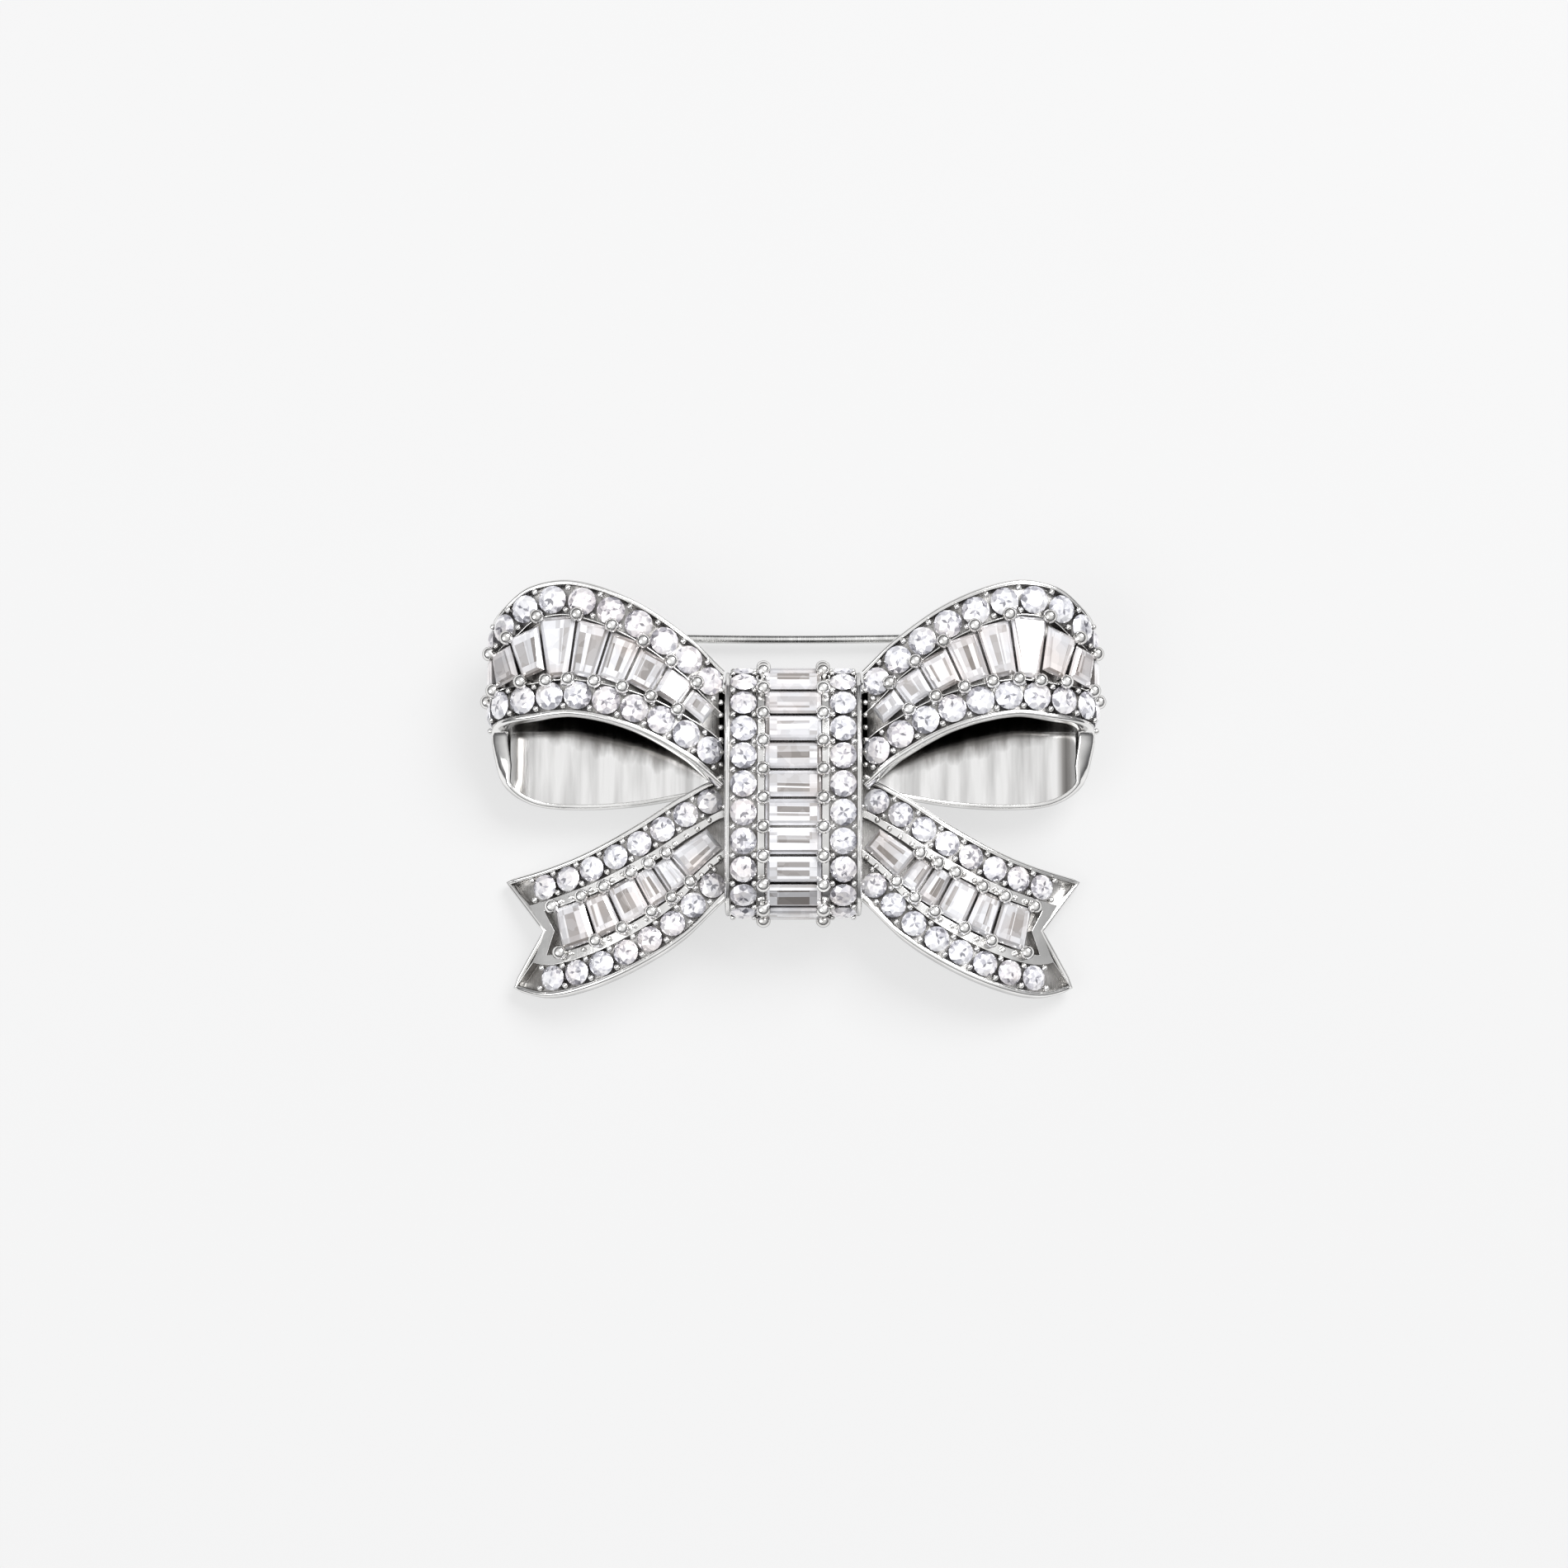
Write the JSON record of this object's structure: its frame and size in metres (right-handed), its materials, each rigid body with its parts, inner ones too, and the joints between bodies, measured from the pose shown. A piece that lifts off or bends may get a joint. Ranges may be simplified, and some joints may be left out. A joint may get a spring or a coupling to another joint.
{
  "type": "bow brooch",
  "caption": "Ribbon bow brooch in polished white metal, set with round and step-cut clear stones, with a hinged pin and a turning safety catch behind.",
  "frame": {"origin": "on the surface that the brooch lies on, under the middle of its outline", "axes": "+X to the right as the jewelled face is seen, +Y towards the loops, +Z out of the jewelled face"},
  "size_m": [0.05, 0.0329, 0.011],
  "materials": {
    "silver_castings": "mirror-polished white metal plating",
    "steel_findings": "bright drawn steel",
    "round_stones": "clear brilliant-cut stone",
    "baguette_stones": "clear step-cut stone"
  },
  "bodies": {
    "bow": {"back_plate": "silver_castings", "catch_body": "steel_findings", "hinge_bracket": "steel_findings", "hinge_rivet": "steel_findings", "knot_baguette_1": "baguette_stones", "knot_baguette_2": "baguette_stones", "knot_baguette_3": "baguette_stones", "knot_baguette_4": "baguette_stones", "knot_baguette_5": "baguette_stones", "knot_baguette_6": "baguette_stones", "knot_baguette_7": "baguette_stones", "knot_baguette_8": "baguette_stones", "knot_baguette_9": "baguette_stones", "knot_band": "silver_castings", "knot_rounds_left": "round_stones", "knot_rounds_right": "round_stones", "left_loop": "silver_castings", "left_loop_baguette_1": "baguette_stones", "left_loop_baguette_2": "baguette_stones", "left_loop_baguette_3": "baguette_stones", "left_loop_baguette_4": "baguette_stones", "left_loop_baguette_5": "baguette_stones", "left_loop_baguette_6": "baguette_stones", "left_loop_baguette_7": "baguette_stones", "left_loop_baguette_8": "baguette_stones", "left_loop_baguette_9": "baguette_stones", "left_loop_rounds_high": "round_stones", "left_loop_rounds_low": "round_stones", "left_tail": "silver_castings", "left_tail_baguette_1": "baguette_stones", "left_tail_baguette_2": "baguette_stones", "left_tail_baguette_3": "baguette_stones", "left_tail_baguette_4": "baguette_stones", "left_tail_baguette_5": "baguette_stones", "left_tail_baguette_6": "baguette_stones", "left_tail_rounds_high": "round_stones", "left_tail_rounds_low": "round_stones", "right_loop": "silver_castings", "right_loop_baguette_1": "baguette_stones", "right_loop_baguette_2": "baguette_stones", "right_loop_baguette_3": "baguette_stones", "right_loop_baguette_4": "baguette_stones", "right_loop_baguette_5": "baguette_stones", "right_loop_baguette_6": "baguette_stones", "right_loop_baguette_7": "baguette_stones", "right_loop_baguette_8": "baguette_stones", "right_loop_baguette_9": "baguette_stones", "right_loop_rounds_high": "round_stones", "right_loop_rounds_low": "round_stones", "right_tail": "silver_castings", "right_tail_baguette_1": "baguette_stones", "right_tail_baguette_2": "baguette_stones", "right_tail_baguette_3": "baguette_stones", "right_tail_baguette_4": "baguette_stones", "right_tail_baguette_5": "baguette_stones", "right_tail_baguette_6": "baguette_stones", "right_tail_rounds_high": "round_stones", "right_tail_rounds_low": "round_stones"},
    "pin": {"pin_stem": "steel_findings"},
    "collar": {"catch_collar": "steel_findings"}
  },
  "joints": [
    {"name": "pin_hinge", "type": "hinge", "parent": "bow", "child": "pin", "pos_m": [-0.019, 0.0135, 0.00115], "axis": [0, 1, 0], "range_deg": [0, 80]},
    {"name": "catch_turn", "type": "hinge", "parent": "bow", "child": "collar", "pos_m": [0.0185, 0.0135, 0.00115], "axis": [1, 0, 0], "range_deg": [-120, 0]}
  ]
}
